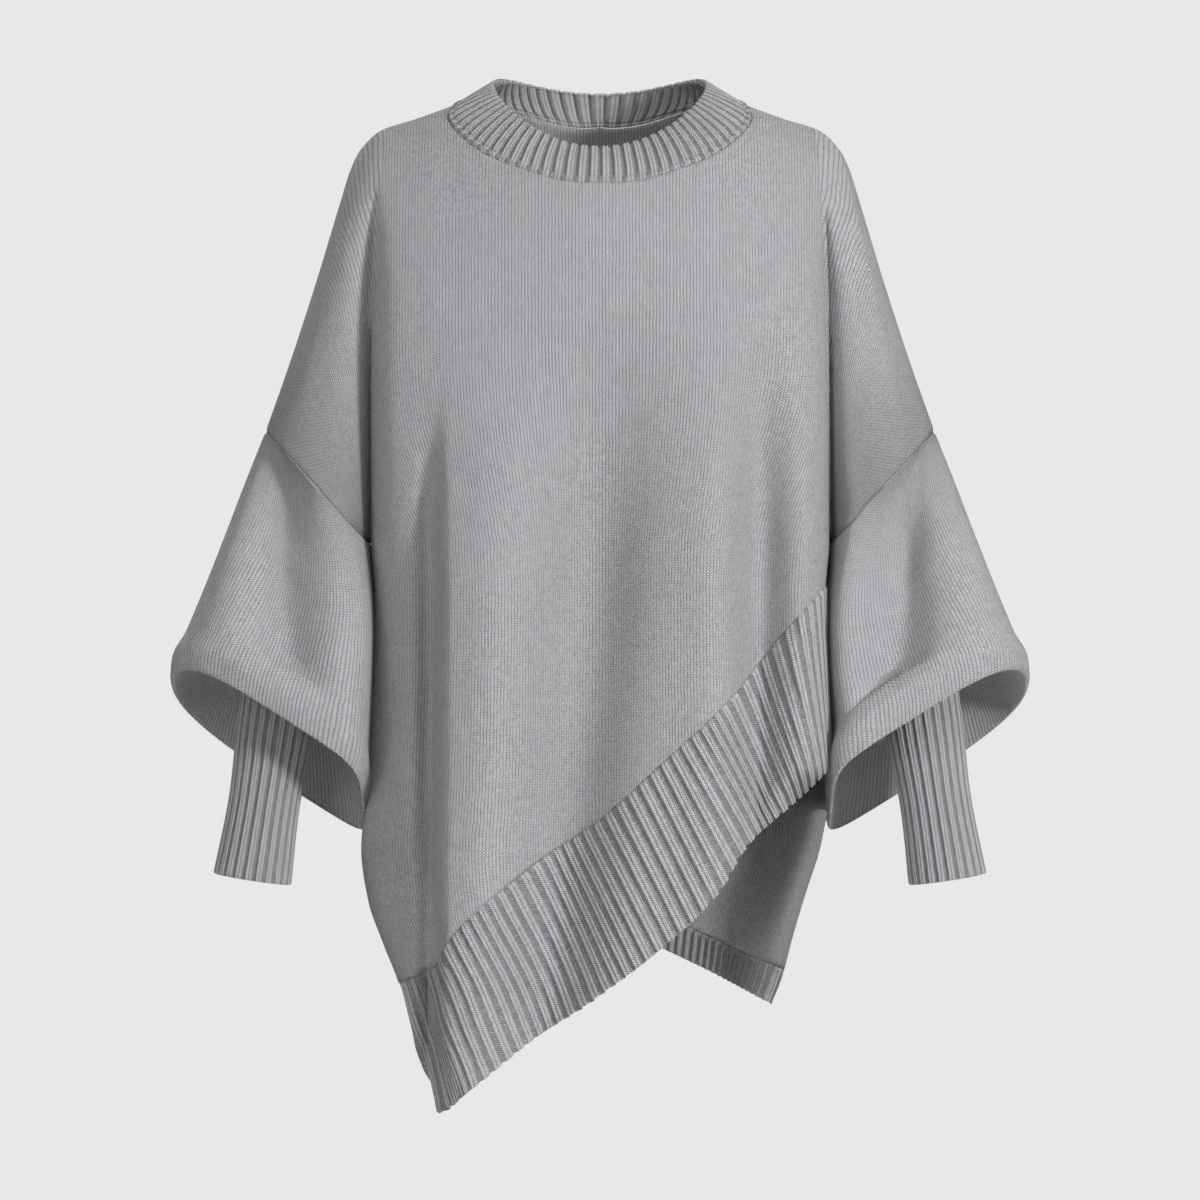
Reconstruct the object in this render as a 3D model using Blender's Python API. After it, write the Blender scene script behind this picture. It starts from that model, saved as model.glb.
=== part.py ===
"""Knitted poncho sweater, standing open as if it were worn.

World frame in metres: +Z up, the front of the garment faces -Y and +X is the wearer's left.  The origin is
the point on the middle plane, level with the tops of the shoulders, where a wearer carries the garment.

The body is one smooth surface.  A point on it is given by x and by `drop`, which counts from the line over
the shoulders and arms: 0 is that line, negative values go down the front and positive values down the back.
Up to 1 the cloth rounds over the shoulder, past 1 it hangs straight.  Every piece is a grid of points; all
the grids meet at their seams, so that they share normals there, and each grid becomes a closed cloth shell.
"""
import math

import bpy
import numpy as np

WALL = 0.003                 # thickness of the knitted cloth
COLLAR_WALL = 0.004          # thickness of the doubled collar
SEAM_GAP = 0.0003            # clearance between two pieces at a seam

# Body: the line over the shoulder and upper arm as (|x|, z)
CREST = ((0.0, 0.045), (0.06, 0.037), (0.10, 0.022), (0.128, 0.011), (0.1585, 0.000), (0.185, -0.0085),
         (0.2036, -0.0255), (0.212, -0.0425), (0.220, -0.068), (0.2406, -0.136), (0.2627, -0.204),
         (0.2843, -0.2652))
ROUNDING = 0.22              # height over which the cloth rounds from the shoulder to the chest
FRONT_DEPTH = 0.127          # chest in front of the middle plane
BACK_DEPTH = 0.108           # back behind the middle plane
FLANK_LOSS = 0.32            # share of that depth lost towards the sides
FLANK_AT = 0.19
ARM_DEPTH = 0.068            # cloth over the arm, from the middle plane

# Neck opening: an oval in (x, drop), widest where the shoulder seams leave it
NECK_HALF_WIDTH = 0.129
NECK_SIDE_DROP = -0.20
NECK_FRONT_DROP = 0.449      # from the widest line to the front middle
NECK_BACK_DROP = 0.620       # and to the back middle
NECK_POWER = 1.2
SHOULDER_CORNER = 0.205      # |x| where the shoulder seam reaches the line over the arm
NECK_COLUMNS_END = 0.64      # column fraction at which the neck opening ends

# Crease between body and arm
ARMPIT_Z = -0.36
CREASE_TOP_X = 0.180
CREASE_DEPTH = ((-0.40, 1.0), (-0.36, 1.0), (-0.25, 0.78), (-0.15, 0.62), (-0.10, 0.34), (-0.05, 0.0),
                (0.05, 0.0))          # share of the depth lost in the crease, by z
CREASE_WIDTH = 0.035         # how far the crease reaches into the body
ARM_CREASE_WIDTH = 0.030     # how far it reaches into the arm

# Side edges of the body as (z, |x|), by face and side (-1 is the wearer's right)
UPPER_EDGE = ((-0.40, 0.192), (-0.36, 0.1945), (-0.20, 0.1935), (-0.10, 0.191), (-0.05, 0.187), (0.02, 0.180))
SIDE_EDGE = {
    ("front", -1): ((-0.84, 0.138), (-0.80, 0.149), (-0.765, 0.1615), (-0.731, 0.171), (-0.697, 0.185),
                    (-0.663, 0.197), (-0.62, 0.203), (-0.56, 0.1965)) + UPPER_EDGE,
    ("front", 1): ((-0.5465, 0.196),) + UPPER_EDGE,
    ("back", -1): ((-0.60, 0.202), (-0.56, 0.1965)) + UPPER_EDGE,
    ("back", 1): ((-0.754, 0.147), (-0.731, 0.156), (-0.697, 0.1645), (-0.663, 0.174), (-0.612, 0.189),
                  (-0.56, 0.196)) + UPPER_EDGE,
}
# Lines across the body as (column fraction, z), by face and side
RIB_TOP = {
    ("front", -1): ((0.0, -0.591), (0.41, -0.650), (0.68, -0.692), (0.80, -0.718), (1.0, -0.732)),
    ("front", 1): ((0.0, -0.591), (0.29, -0.538), (0.59, -0.484), (0.82, -0.429), (1.0, -0.393)),
    ("back", -1): ((0.0, -0.658), (1.0, -0.572)),
    ("back", 1): ((0.0, -0.658), (0.26, -0.677), (0.63, -0.703), (1.0, -0.724)),
}
HEM = {
    ("front", -1): ((0.0, -0.736), (0.12, -0.7514), (0.58, -0.799), (1.0, -0.840)),
    ("front", 1): ((0.0, -0.736), (0.21, -0.705), (0.495, -0.653), (0.62, -0.616), (0.88, -0.5695),
                   (1.0, -0.5465)),
    ("back", -1): ((0.0, -0.686), (1.0, -0.600)),
    ("back", 1): ((0.0, -0.686), (0.26, -0.705), (0.63, -0.731), (1.0, -0.754)),
}
# Below the side seams the free edges swing forward: (z, share of the depth lost at the edge)
EDGE_LOSS = {
    ("front", -1): ((-0.84, 0.12), (-0.73, 0.50), (-0.66, 0.80), (-0.60, 1.0)),
    ("front", 1): ((-0.60, 1.0), (-0.50, 1.0)),
    ("back", -1): ((-0.60, 1.0), (-0.50, 1.0)),
    ("back", 1): ((-0.754, 0.45), (-0.65, 0.80), (-0.56, 1.0)),
}
EDGE_REACH = ((-0.84, 0.020), (-0.70, 0.055), (-0.62, 0.065), (-0.50, 0.035), (-0.40, 0.035))

# Soft folds down the body: (x at the top, x at the bottom, depth, half width, z it starts, z it is full)
FOLDS = {
    "front": ((-0.137, -0.143, 0.014, 0.020, -0.16, -0.42), (0.052, 0.008, 0.008, 0.032, -0.18, -0.45),
              (0.150, 0.152, 0.008, 0.016, -0.20, -0.42), (-0.168, -0.170, -0.004, 0.014, -0.10, -0.30),
              (0.112, 0.108, -0.005, 0.022, -0.14, -0.40)),
    "back": ((-0.120, -0.128, 0.012, 0.022, -0.18, -0.44), (0.010, 0.000, 0.008, 0.030, -0.20, -0.45),
             (0.128, 0.124, 0.012, 0.022, -0.18, -0.44)),
}

# Sleeves: outer and inner lines as (x, z), from the armhole to where the cloth turns under
SLEEVE_LEVELS = (0.0, 0.25, 0.5, 0.75, 1.0)
SLEEVE_OUTER = ((0.2843, -0.2652), (0.307, -0.323), (0.329, -0.383), (0.350, -0.440), (0.3625, -0.480))
SLEEVE_INNER = ((0.1945, -0.36), (0.1955, -0.415), (0.1965, -0.475), (0.1995, -0.535), (0.2075, -0.585))
SLEEVE_FRONT = (0.067, 0.076, 0.082, 0.087, 0.084)
SLEEVE_BACK = (0.067, 0.079, 0.086, 0.092, 0.089)
SLEEVE_POWER = 2.6           # superellipse of a sleeve ring
ARMHOLE_BLEND = 0.35         # share of the sleeve over which the armhole shape fades out
RIM_TILT = 0.30              # the turned rim stands higher in front than behind
TURN_DROP = 0.020            # handles of the curve that turns the cloth under
TURN_LIFT = 0.016
CUFF_TOP = (0.2695, 0.0, -0.478)
CUFF_END = (0.2955, 0.0, -0.645)
CUFF_RADII = ((0.0, 0.034), (0.25, 0.033), (0.60, 0.0305), (1.0, 0.0335))

# Collar: its free edge, from the neck seam
COLLAR_TOP_HALF_WIDTH = 0.0905
COLLAR_TOP_FRONT = (-0.083, -0.0275)   # (y, z) at the front middle
COLLAR_TOP_BACK = (0.062, 0.0285)
COLLAR_TOP_SIDE_Z = 0.031
COLLAR_BELLY = 0.003         # outward swell halfway up

# Grid columns: fractions from the middle to the crease, close together in the crease, then fractions
# from the crease to the line over the arm
BODY_COLUMNS = (0.0, 0.11, 0.22, 0.33, 0.44, 0.55, 0.64, 0.76, 0.87, 0.93, 0.970, 0.990, 0.998, 1.0)
ARM_COLUMNS = (0.03, 0.13, 0.30, 0.50, 0.70, 0.86, 0.96, 1.0)
UPPER_ROWS = 9
LOWER_ROWS = 7
FRONT_BAND_ROWS = 3
BACK_BAND_ROWS = 1
SLEEVE_ROWS = 7
TURN_ROWS = 5
CUFF_ROWS = 4
COLLAR_ROWS = 2

HEATHER = (0.36, 0.365, 0.385)
RIB_HEATHER = (0.34, 0.345, 0.365)
ROUGHNESS = 0.9


def smooth_table(table, q):
    """Read a table of (position, value) pairs along a smooth curve that never overshoots."""
    at, value = np.array(table, dtype=float).T
    step = np.diff(at)
    rate = np.diff(value) / step
    before, after = rate[:-1], rate[1:]
    same = before * after > 0
    inner = np.zeros_like(before)
    inner[same] = 2 * before[same] * after[same] / (before[same] + after[same])
    slope = np.concatenate([rate[:1], inner, rate[-1:]])
    q = np.clip(np.asarray(q, dtype=float), at[0], at[-1])
    i = np.clip(np.searchsorted(at, q, side="right") - 1, 0, len(at) - 2)
    t = (q - at[i]) / step[i]
    return ((1 + 2 * t) * (1 - t) ** 2 * value[i] + t * (1 - t) ** 2 * step[i] * slope[i]
            + t * t * (3 - 2 * t) * value[i + 1] + t * t * (t - 1) * step[i] * slope[i + 1])


def ease(q):
    """Smooth step from 0 to 1."""
    q = np.clip(q, 0.0, 1.0)
    return q * q * (3 - 2 * q)


def corner(q, power):
    """Quarter of a superellipse: rises steeply from 0 and levels out at 1."""
    q = np.clip(q, 0.0, 1.0)
    return (1 - (1 - q) ** power) ** (1 / power)


def side_edge(face, side, z):
    return smooth_table(SIDE_EDGE[face, side], z)


def fold_depth(face, x, z):
    """How far the soft folds push the cloth in towards the middle plane."""
    total = np.zeros(np.broadcast(x, z).shape)
    for top_x, low_x, depth, half_width, start, full in FOLDS[face]:
        grow = ease((start - z) / (start - full))
        place = top_x + (low_x - top_x) * np.clip(-z / 0.75, 0, 1)
        total += depth * grow * np.exp(-((x - place) / half_width) ** 2)
    return total


def body_depth(face, side, x, z):
    """Distance of the hanging cloth from the middle plane, with the crease beside the arm."""
    reach = np.abs(x)
    edge = side_edge(face, side, z)
    full = FRONT_DEPTH if face == "front" else BACK_DEPTH
    body = full * (1 - FLANK_LOSS * np.clip(reach / FLANK_AT, 0, 1.1) ** 2.6)
    at_edge = full * (1 - FLANK_LOSS * (edge / FLANK_AT) ** 2.6)
    loss = np.minimum(smooth_table(CREASE_DEPTH, z), smooth_table(EDGE_LOSS[face, side], z))
    width = smooth_table(EDGE_REACH, z)
    kept = 1 - loss * (1 - corner((edge - reach) / width, 3.0))
    into_arm = (reach - edge) / ARM_CREASE_WIDTH
    arm = at_edge + (ARM_DEPTH - at_edge) * ease(into_arm)
    in_arm = arm * (1 - loss * (1 - corner(into_arm, 2.0)))
    in_body = (body - fold_depth(face, x, z)) * kept
    return np.where(reach <= edge, in_body, in_arm)


def body_point(side, x, drop, face=None):
    """Point of the body surface at (x, drop)."""
    crest = smooth_table(CREST, np.abs(x))
    down = np.abs(drop)
    angle = np.minimum(down, 1) * math.pi / 2
    z = crest - ROUNDING * (1 - np.cos(angle) + np.maximum(down - 1, 0) * math.pi / 2)
    front = -body_depth("front", side, x, z) * np.sin(angle)
    back = body_depth("back", side, x, z) * np.sin(angle)
    y = np.where(drop < 0, front, back) if face is None else {"front": front, "back": back}[face]
    return np.stack([x + 0 * y, y, z], axis=-1)


def drop_at(face, x, z):
    """The drop of a body point at (x, z)."""
    q = np.maximum((smooth_table(CREST, np.abs(x)) - z) / ROUNDING, 0)
    down = np.where(q < 1, np.arccos(1 - np.minimum(q, 1)) * 2 / math.pi, 1 + (q - 1) * 2 / math.pi)
    return -down if face == "front" else down


def seam_drop(x):
    """Drop of the shoulder seam: a straight line in (x, drop) from the neck to the top of the crease."""
    share = (CREASE_TOP_X - x) / (CREASE_TOP_X - NECK_HALF_WIDTH)
    return NECK_SIDE_DROP * np.clip(share, 0, 1)


def top_of_column(face, fraction):
    """(|x|, drop) where a body column leaves the neck opening or the shoulder seam."""
    if fraction <= NECK_COLUMNS_END:
        angle = math.pi / 2 * fraction / NECK_COLUMNS_END
        reach = -NECK_FRONT_DROP if face == "front" else NECK_BACK_DROP
        drop = NECK_SIDE_DROP + reach * max(math.cos(angle), 0.0) ** NECK_POWER
        return NECK_HALF_WIDTH * math.sin(angle), drop
    share = (fraction - NECK_COLUMNS_END) / (1 - NECK_COLUMNS_END)
    x = NECK_HALF_WIDTH + (CREASE_TOP_X - NECK_HALF_WIDTH) * share
    return x, seam_drop(x)


def upper_half(face, side):
    """Grid from the neck and shoulder down to the armpit, out to the line over the arm."""
    rows = np.linspace(0, 1, UPPER_ROWS + 1)
    grid = []
    for fraction in BODY_COLUMNS:
        x0, drop0 = top_of_column(face, fraction)
        x1 = fraction * side_edge(face, side, ARMPIT_Z)
        x = x0 + (x1 - x0) * rows
        drop = drop0 + (drop_at(face, x1, ARMPIT_Z) - drop0) * rows
        grid.append(body_point(side, side * x, drop))
    crease_x, crease_z = np.abs(grid[-1][:, 0]), grid[-1][:, 2]
    crest_x = SHOULDER_CORNER + (CREST[-1][0] - SHOULDER_CORNER) * rows
    crest_z = smooth_table(CREST, crest_x)
    for share in ARM_COLUMNS:
        across = 1 - (1 - share) ** 2
        x = crease_x + (crest_x - crease_x) * across
        z = crease_z + (crest_z - crease_z) * across
        drop = drop_at(face, x, z)
        drop[0] = seam_drop(x[0])
        points = body_point(side, side * x, drop, face)
        points[0] = body_point(side, side * x[0], drop[0])
        grid.append(points)
    return np.array(grid).transpose(1, 0, 2)


def strip_half(face, side, top, bottom, rows):
    """Grid of the hanging body between two lines given as z by column fraction."""
    grid = []
    for fraction in BODY_COLUMNS:
        z = top(fraction) + (bottom(fraction) - top(fraction)) * np.linspace(0, 1, rows + 1)
        x = fraction * side_edge(face, side, z)
        grid.append(body_point(side, side * x, drop_at(face, x, z)))
    return np.array(grid).transpose(1, 0, 2)


def whole(make):
    """Join the wearer's right and left halves of a grid at the middle."""
    return np.concatenate([make(-1)[:, ::-1], make(1)[:, 1:]], axis=1)


def panel(face):
    """Upper and lower grid of a body panel."""
    upper = whole(lambda side: upper_half(face, side))
    lower = whole(lambda side: strip_half(
        face, side, lambda f: ARMPIT_Z, lambda f: smooth_table(RIB_TOP[face, side], f), LOWER_ROWS))
    return [upper, lower]


def band(face, rows):
    return [whole(lambda side: strip_half(
        face, side, lambda f: smooth_table(RIB_TOP[face, side], f),
        lambda f: smooth_table(HEM[face, side], f), rows))]


def armhole(side):
    """Closed armhole ring from the top of the arm down the front and up the back."""
    count = len(ARM_COLUMNS)
    front = upper_half("front", side)[-1, -count - 1:]
    back = upper_half("back", side)[-1, -count - 1:]
    return np.concatenate([front[::-1], back[1:-1]])


def ring_angles():
    return np.linspace(0, 2 * math.pi, 2 * len(ARM_COLUMNS) + 1)[:-1]


def sleeve_ring(side, level):
    """One slanting ring of the balloon sleeve; level runs from the armhole to the turned rim."""
    at = [np.interp(level, SLEEVE_LEVELS, [p[i] for p in line])
          for line in (SLEEVE_OUTER, SLEEVE_INNER) for i in (0, 1)]
    outer, inner = np.array(at[:2]), np.array(at[2:])
    middle, half = (outer + inner) / 2, (outer - inner) / 2
    angle = ring_angles()
    fore, side_on = np.sin(angle), np.cos(angle)
    box = (np.abs(fore) ** SLEEVE_POWER + np.abs(side_on) ** SLEEVE_POWER) ** (-1 / SLEEVE_POWER)
    depth = np.where(fore > 0, np.interp(level, SLEEVE_LEVELS, SLEEVE_FRONT),
                     np.interp(level, SLEEVE_LEVELS, SLEEVE_BACK))
    y = -depth * fore * box
    xz = middle + half * (side_on * box)[:, None]
    z = xz[:, 1] - RIM_TILT * ease((level - 0.3) / 0.7) * y
    puff = np.stack([side * xz[:, 0], y, z], axis=1)
    keep = ease(1 - level / ARMHOLE_BLEND)
    return armhole(side) * keep + puff * (1 - keep)


def cuff_ring(side, level, clearance=0.0):
    top, end = np.array(CUFF_TOP), np.array(CUFF_END)
    centre = top + (end - top) * level
    down = (end - top) / np.linalg.norm(end - top)
    outward = np.array([-down[2], 0.0, down[0]])
    angle = ring_angles()
    radius = smooth_table(CUFF_RADII, level) + clearance
    ring = centre + radius * (np.cos(angle)[:, None] * outward - np.sin(angle)[:, None] * [0, 1, 0])
    return ring * [side, 1, 1]


def sleeve(side):
    rings = [sleeve_ring(side, level) for level in np.linspace(0, 1, SLEEVE_ROWS + 1)]
    rim, cuff = rings[-1], cuff_ring(side, 0, SEAM_GAP)
    under, up = rim + [0, 0, -TURN_DROP], cuff + [0, 0, -TURN_LIFT]
    for t in np.linspace(0, 1, TURN_ROWS + 1)[1:]:
        rings.append(rim * (1 - t) ** 3 + 3 * under * t * (1 - t) ** 2
                     + 3 * up * t * t * (1 - t) + cuff * t ** 3)
    return [np.array(rings)]


def cuff(side):
    return [np.array([cuff_ring(side, level) for level in np.linspace(0, 1, CUFF_ROWS + 1)])]


def collar():
    """Ring from the neck seam up and in to the free edge."""
    count = sum(c <= NECK_COLUMNS_END for c in BODY_COLUMNS)
    middle = len(BODY_COLUMNS) + len(ARM_COLUMNS) - 1
    front = panel("front")[0][0, middle - count + 1:middle + count]
    back = panel("back")[0][0, middle - count + 1:middle + count]
    base = np.concatenate([front, back[::-1][1:-1]])
    angle = np.arctan2(base[:, 0], -base[:, 1])
    fore = (1 + np.cos(angle)) / 2
    y = COLLAR_TOP_BACK[0] + (COLLAR_TOP_FRONT[0] - COLLAR_TOP_BACK[0]) * fore
    z = COLLAR_TOP_BACK[1] + (COLLAR_TOP_FRONT[1] - COLLAR_TOP_BACK[1]) * fore
    mean_z = (COLLAR_TOP_BACK[1] + COLLAR_TOP_FRONT[1]) / 2
    z = z + (COLLAR_TOP_SIDE_Z - mean_z) * np.sin(angle) ** 2
    top = np.stack([COLLAR_TOP_HALF_WIDTH * np.sin(angle), y, z], axis=1)
    outward = np.stack([np.sin(angle), -np.cos(angle), 0 * angle], axis=1)
    rows = np.linspace(0, 1, COLLAR_ROWS + 1)[:, None, None]
    return [base + (top - base) * rows + COLLAR_BELLY * 4 * rows * (1 - rows) * outward]


def faces_of(grids, closed, index):
    """Quads of a piece, listed once for each grid; `index` numbers the points by place."""
    quads = []
    for grid in grids:
        rows, cols = grid.shape[:2]
        for i in range(rows - 1):
            for j in range(cols if closed else cols - 1):
                k = (j + 1) % cols
                quads.append([index(grid[i, j]), index(grid[i, k]), index(grid[i + 1, k]),
                              index(grid[i + 1, j])])
    return quads


def place_key(point):
    return tuple(np.round(point, 6) + 0.0)


def number_points(grids, closed, flip):
    """Merge a piece's grids into one point list and its outward facing quads."""
    numbers, points = {}, []

    def index(point):
        key = place_key(point)
        if key not in numbers:
            numbers[key] = len(points)
            points.append(point)
        return numbers[key]

    quads = faces_of(grids, closed, index)
    if flip:
        quads = [quad[::-1] for quad in quads]
    return np.array(points), quads


def add_normals(points, quads, total):
    """Add each quad's area vector to the running total kept for every place."""
    for quad in quads:
        a, b, c, d = points[quad]
        area = np.cross(c - a, d - b)
        for corner_index in quad:
            key = place_key(points[corner_index])
            total[key] = total.get(key, 0) + area


def rim_edges(quads):
    """Directed edges that only one quad uses."""
    edges = {(quad[i], quad[(i + 1) % 4]) for quad in quads for i in range(4)}
    return [edge for edge in edges if (edge[1], edge[0]) not in edges]


def cloth(name, points, quads, normals, wall, colour):
    """Closed shell: the outer skin, an inner skin one wall behind it, and the cut edge between.

    The edge is split along the same diagonals in both pieces of a seam, so that their edges stay parallel.
    """
    rim = sorted(rim_edges(quads))
    inset = np.zeros_like(points)
    for a, b in rim:
        along = points[b] - points[a]
        inward = np.cross(normals[a] + normals[b], along)
        inward /= np.linalg.norm(inward)
        inset[a] += inward
        inset[b] += inward
    for corner_index in {a for a, _ in rim}:
        inset[corner_index] *= SEAM_GAP / 2 / max(np.linalg.norm(inset[corner_index]), 1e-9)
    outer = points + inset
    inner = outer - wall * normals
    count = len(points)
    faces = list(quads) + [[v + count for v in quad[::-1]] for quad in quads]
    for a, b in rim:
        if place_key(points[a]) < place_key(points[b]):
            faces += [[b, a, b + count], [a, a + count, b + count]]
        else:
            faces += [[b, a, a + count], [b, a + count, b + count]]
    mesh = bpy.data.meshes.new(name)
    mesh.from_pydata(np.concatenate([outer, inner]).tolist(), [], faces)
    mesh.validate()
    obj = bpy.data.objects.new(name, mesh)
    material = bpy.data.materials.new(name + "_knit")
    material.use_nodes = True
    shader = material.node_tree.nodes["Principled BSDF"]
    shader.inputs["Base Color"].default_value = (*colour, 1.0)
    shader.inputs["Roughness"].default_value = ROUGHNESS
    shader.inputs["Metallic"].default_value = 0.0
    mesh.materials.append(material)
    return obj


def main():
    for old in list(bpy.data.objects):
        bpy.data.objects.remove(old, do_unlink=True)
    garment = bpy.data.collections.new("knitted_poncho_sweater")
    bpy.context.scene.collection.children.link(garment)

    # name: grids, closed ring, quads to flip so that they face out, wall, colour
    pieces = {
        "front_panel": (panel("front"), False, True, WALL, HEATHER),
        "back_panel": (panel("back"), False, False, WALL, HEATHER),
        "front_hem_band": (band("front", FRONT_BAND_ROWS), False, True, WALL, RIB_HEATHER),
        "back_hem_band": (band("back", BACK_BAND_ROWS), False, False, WALL, RIB_HEATHER),
        "right_sleeve": (sleeve(-1), True, True, WALL, HEATHER),
        "left_sleeve": (sleeve(1), True, False, WALL, HEATHER),
        "right_cuff": (cuff(-1), True, True, WALL, RIB_HEATHER),
        "left_cuff": (cuff(1), True, False, WALL, RIB_HEATHER),
        "collar": (collar(), True, False, COLLAR_WALL, RIB_HEATHER),
    }
    numbered = {name: number_points(grids, closed, flip)
                for name, (grids, closed, flip, _, _) in pieces.items()}
    total = {}
    for points, quads in numbered.values():
        add_normals(points, quads, total)
    for side in (-1, 1):
        armpit = armhole(side)[len(ARM_COLUMNS)]
        total[place_key(armpit)] = np.array([0.0, 0.0, -1.0])
    for name, (points, quads) in numbered.items():
        normals = np.array([total[place_key(point)] for point in points])
        normals /= np.linalg.norm(normals, axis=1)[:, None]
        _, _, _, wall, colour = pieces[name]
        garment.objects.link(cloth(name, points, quads, normals, wall, colour))


main()
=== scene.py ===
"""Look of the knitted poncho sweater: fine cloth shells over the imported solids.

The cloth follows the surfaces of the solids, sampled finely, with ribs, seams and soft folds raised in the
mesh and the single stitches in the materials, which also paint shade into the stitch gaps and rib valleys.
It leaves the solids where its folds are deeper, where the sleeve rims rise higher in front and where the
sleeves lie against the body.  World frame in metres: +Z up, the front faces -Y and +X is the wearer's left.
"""

import math

import bpy
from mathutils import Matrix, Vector
import numpy as np


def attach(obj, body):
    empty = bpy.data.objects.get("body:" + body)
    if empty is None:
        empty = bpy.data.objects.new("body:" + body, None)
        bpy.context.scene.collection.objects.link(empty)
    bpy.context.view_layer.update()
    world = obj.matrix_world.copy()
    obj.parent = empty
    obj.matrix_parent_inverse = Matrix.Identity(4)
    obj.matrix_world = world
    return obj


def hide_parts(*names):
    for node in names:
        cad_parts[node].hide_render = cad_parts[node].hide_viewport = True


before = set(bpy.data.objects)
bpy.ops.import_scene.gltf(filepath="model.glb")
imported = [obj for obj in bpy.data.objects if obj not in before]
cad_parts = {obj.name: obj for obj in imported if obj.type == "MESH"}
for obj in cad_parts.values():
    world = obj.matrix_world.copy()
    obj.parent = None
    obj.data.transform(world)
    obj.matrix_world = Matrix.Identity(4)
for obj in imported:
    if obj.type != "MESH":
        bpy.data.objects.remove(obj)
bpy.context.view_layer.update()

WALL = 0.003                 # thickness of the knitted cloth
COLLAR_WALL = 0.004          # thickness of the doubled collar
SEAM_GAP = 0.0003            # clearance between two pieces at a seam

# Body: the line over the shoulder and upper arm as (|x|, z)
CREST = ((0.0, 0.045), (0.06, 0.037), (0.10, 0.022), (0.128, 0.011), (0.1585, 0.000), (0.185, -0.0085),
         (0.2036, -0.0255), (0.212, -0.0425), (0.220, -0.068), (0.2406, -0.136), (0.2627, -0.204),
         (0.2843, -0.2652))
ROUNDING = 0.22              # height over which the cloth rounds from the shoulder to the chest
FRONT_DEPTH = 0.127          # chest in front of the middle plane
BACK_DEPTH = 0.108           # back behind the middle plane
FLANK_LOSS = 0.32            # share of that depth lost towards the sides
FLANK_AT = 0.19              # |x| at which that share is lost
FLANK_POWER = 2.6            # how late the loss sets in
ARM_DEPTH = 0.068            # cloth over the arm, from the middle plane

# Neck opening: an oval in (x, drop), widest where the shoulder seams leave it.  A drop says how far down the
# cloth a point lies from the line over the shoulder: negative in front, and 1 where the rounding ends.
NECK_HALF_WIDTH = 0.129
NECK_SIDE_DROP = -0.20
NECK_FRONT_DROP = 0.449      # from the widest line to the front middle
NECK_BACK_DROP = 0.620       # and to the back middle
NECK_POWER = 1.2
SHOULDER_CORNER = 0.205      # |x| where the shoulder seam reaches the line over the arm
NECK_COLUMNS_END = 0.64      # column fraction at which the neck opening ends

# Crease between body and arm
ARMPIT_Z = -0.36
CREASE_TOP_X = 0.180
SHOULDER_SHARE = 0.25        # top share of the upper arm whose rows are bent to the line of the shoulder
CREASE_DEPTH = ((-0.40, 1.0), (-0.36, 1.0), (-0.25, 0.78), (-0.15, 0.62), (-0.10, 0.34), (-0.05, 0.0),
                (0.05, 0.0))          # share of the depth lost in the crease, by z
ARM_CREASE_WIDTH = 0.030     # how far the crease reaches into the arm
CREASE_ROUND = 3.0           # superellipse powers of the crease's side towards the body
ARM_ROUND = 2.0              # and towards the arm
ARM_FLATTEN = 2.2            # how fast the depth falls from the crease to that of the arm
ARM_FROM_Z = -0.05           # z below which the arm parts from the body
ARM_FADE = 0.12              # and the height over which it does
FREE_FADE = 0.04             # height over which a side seam gives way to a free edge

# Side edges of the body as (z, |x|), by face and side (-1 is the wearer's right)
UPPER_EDGE = ((-0.40, 0.192), (-0.36, 0.1945), (-0.20, 0.1935), (-0.10, 0.191), (-0.05, 0.187), (0.02, 0.180))
SIDE_EDGE = {
    ("front", -1): ((-0.84, 0.138), (-0.80, 0.149), (-0.765, 0.1615), (-0.731, 0.171), (-0.697, 0.185),
                    (-0.663, 0.197), (-0.62, 0.203), (-0.56, 0.1965)) + UPPER_EDGE,
    ("front", 1): ((-0.5465, 0.196),) + UPPER_EDGE,
    ("back", -1): ((-0.60, 0.202), (-0.56, 0.1965)) + UPPER_EDGE,
    ("back", 1): ((-0.754, 0.147), (-0.731, 0.156), (-0.697, 0.1645), (-0.663, 0.174), (-0.612, 0.189),
                  (-0.56, 0.196)) + UPPER_EDGE,
}
# Lines across the body as (column fraction, z), by face and side
RIB_TOP = {
    ("front", -1): ((0.0, -0.591), (0.41, -0.650), (0.68, -0.692), (0.80, -0.718), (1.0, -0.732)),
    ("front", 1): ((0.0, -0.591), (0.29, -0.538), (0.59, -0.484), (0.82, -0.429), (1.0, -0.393)),
    ("back", -1): ((0.0, -0.658), (1.0, -0.572)),
    ("back", 1): ((0.0, -0.658), (0.26, -0.677), (0.63, -0.703), (1.0, -0.724)),
}
HEM = {
    ("front", -1): ((0.0, -0.736), (0.12, -0.7514), (0.58, -0.799), (1.0, -0.840)),
    ("front", 1): ((0.0, -0.736), (0.21, -0.705), (0.495, -0.653), (0.62, -0.616), (0.88, -0.5695),
                   (1.0, -0.5465)),
    ("back", -1): ((0.0, -0.686), (1.0, -0.600)),
    ("back", 1): ((0.0, -0.686), (0.26, -0.705), (0.63, -0.731), (1.0, -0.754)),
}
# Below the side seams the free edges swing forward: (z, share of the depth lost at the edge)
EDGE_LOSS = {
    ("front", -1): ((-0.84, 0.12), (-0.73, 0.50), (-0.66, 0.80), (-0.60, 1.0)),
    ("front", 1): ((-0.60, 1.0), (-0.50, 1.0)),
    ("back", -1): ((-0.60, 1.0), (-0.50, 1.0)),
    ("back", 1): ((-0.754, 0.45), (-0.65, 0.80), (-0.56, 1.0)),
}
SIDE_SEAM_END = {-1: -0.600, 1: -0.5465}   # z where the side seams end
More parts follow.
